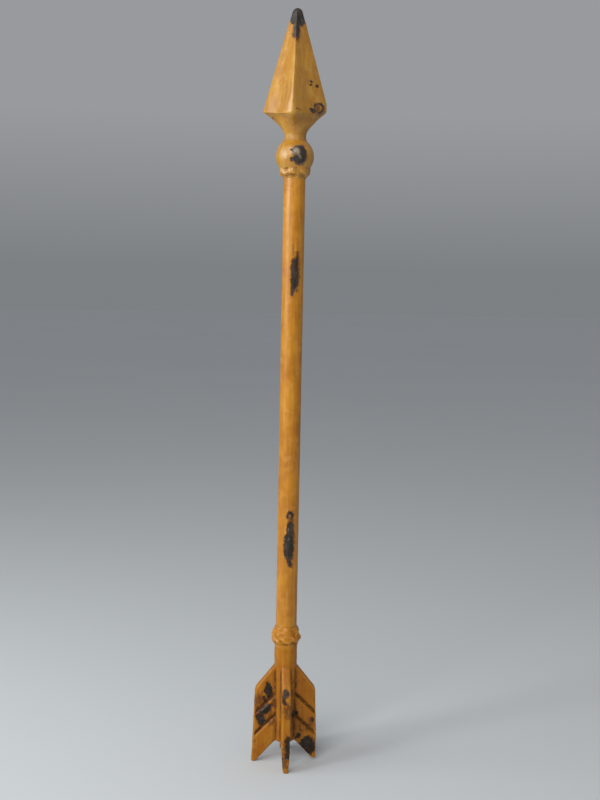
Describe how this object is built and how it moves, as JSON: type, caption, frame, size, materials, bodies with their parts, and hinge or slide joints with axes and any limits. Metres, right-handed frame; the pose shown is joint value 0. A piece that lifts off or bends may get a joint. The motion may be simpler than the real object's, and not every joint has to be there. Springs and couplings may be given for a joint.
{
  "type": "ornamental cast arrow",
  "caption": "Upright ornamental arrow: a faceted spear point on a ball, rope collars, a plain tube shaft and a thick barbed four-vane tail, drawn together by a hidden tie rod.",
  "frame": {"origin": "on the floor plane through the four vane tips, under the shaft's axis", "axes": "+Z along the shaft from the vane tips to the point's tip, -Y towards the vane that faces the viewer, +X to the viewer's right"},
  "size_m": [0.068, 0.068, 0.7572],
  "materials": {
    "ochre_cast_paint": "brushed semi-gloss ochre enamel over a cast surface, chipped to black iron",
    "ochre_tube_paint": "brushed semi-gloss ochre enamel over drawn pipe, chipped to black iron",
    "dark_steel": "dull dark steel with light rust"
  },
  "bodies": {
    "root": {"arrowhead": "ochre_cast_paint", "head_rope_collar": "ochre_cast_paint", "shaft_tube": "ochre_tube_paint", "tail_rope_collar": "ochre_cast_paint", "fletched_tail": "ochre_cast_paint", "tie_rod": "dark_steel", "tie_rod_washer": "dark_steel", "tie_rod_nut": "dark_steel"}
  },
  "joints": []
}
